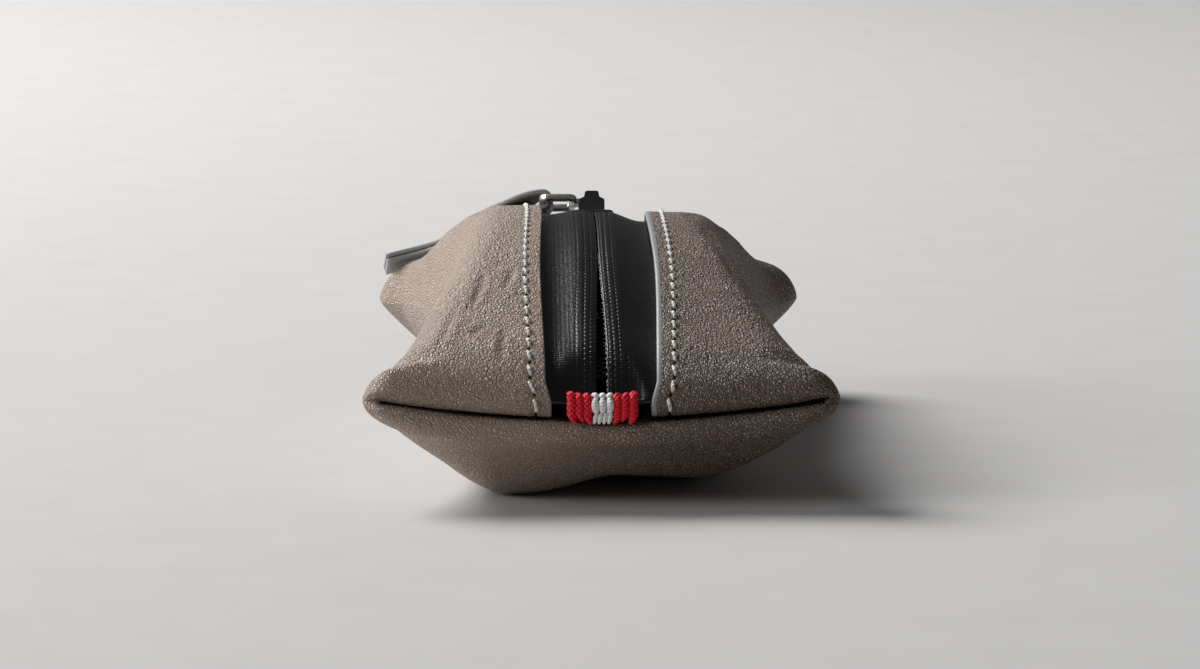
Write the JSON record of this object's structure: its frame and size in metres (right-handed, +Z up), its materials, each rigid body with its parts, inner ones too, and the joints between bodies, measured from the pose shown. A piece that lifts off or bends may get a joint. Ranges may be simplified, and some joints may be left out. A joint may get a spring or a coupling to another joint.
{
  "type": "zip key pouch",
  "caption": "Small grey-brown leather zip pouch, sewn flat at both ends, with a black zip on top, a leather pull strap, a striped end ribbon and a key ring inside.",
  "frame": {"origin": "on the resting face, halfway between the two end seams", "axes": "+Z up; the zip runs along Y with its front end, where the ribbon is, towards -Y; +X to the right as seen from the front"},
  "size_m": [0.085, 0.1356, 0.0457],
  "materials": {
    "body_leather": "pebbled calf leather, semi-matt",
    "strap_leather": "smooth, matt",
    "zip_tape": "coated polyester tape, half gloss",
    "zip_coil": "nylon coil",
    "ribbon": "woven, with a white stripe",
    "dark_metal": "dark nickel plating on die-cast zinc",
    "bright_metal": "polished nickel",
    "ring_metal": "nickel-plated spring steel"
  },
  "bodies": {
    "pouch": {"leather_body": "body_leather", "zip_tape_left": "zip_tape", "zip_tape_right": "zip_tape", "zip_coil_left": "zip_coil", "zip_coil_right": "zip_coil", "end_ribbon": "ribbon", "key_tab": "body_leather"},
    "slider": {"slider_body": "dark_metal"},
    "puller": {"puller_frame": "bright_metal"},
    "strap": {"pull_strap": "strap_leather"},
    "ring": {"key_ring": "ring_metal"}
  },
  "joints": [
    {"name": "slider_travel", "type": "hinge", "parent": "pouch", "child": "slider", "pos_m": [0, 0, -0.0562], "axis": [1, 0, 0], "range_deg": [0, 42.4], "deforming": ["zip_coil_left", "zip_coil_right"]},
    {"name": "puller_lift", "type": "hinge", "parent": "slider", "child": "puller", "pos_m": [0, 0.03218, 0.04249], "axis": [0, 0.9507, -0.31], "range_deg": [0, 150]},
    {"name": "strap_flex", "type": "hinge", "parent": "puller", "child": "strap", "pos_m": [-0.0096, 0.03218, 0.04249], "axis": [0, 0.9507, -0.31], "range_deg": [0, 40]},
    {"name": "key_ring_swing", "type": "hinge", "parent": "pouch", "child": "ring", "pos_m": [0.003, 0.044, 0.0078], "axis": [-1, 0, 0], "range_deg": [0, 70]}
  ]
}
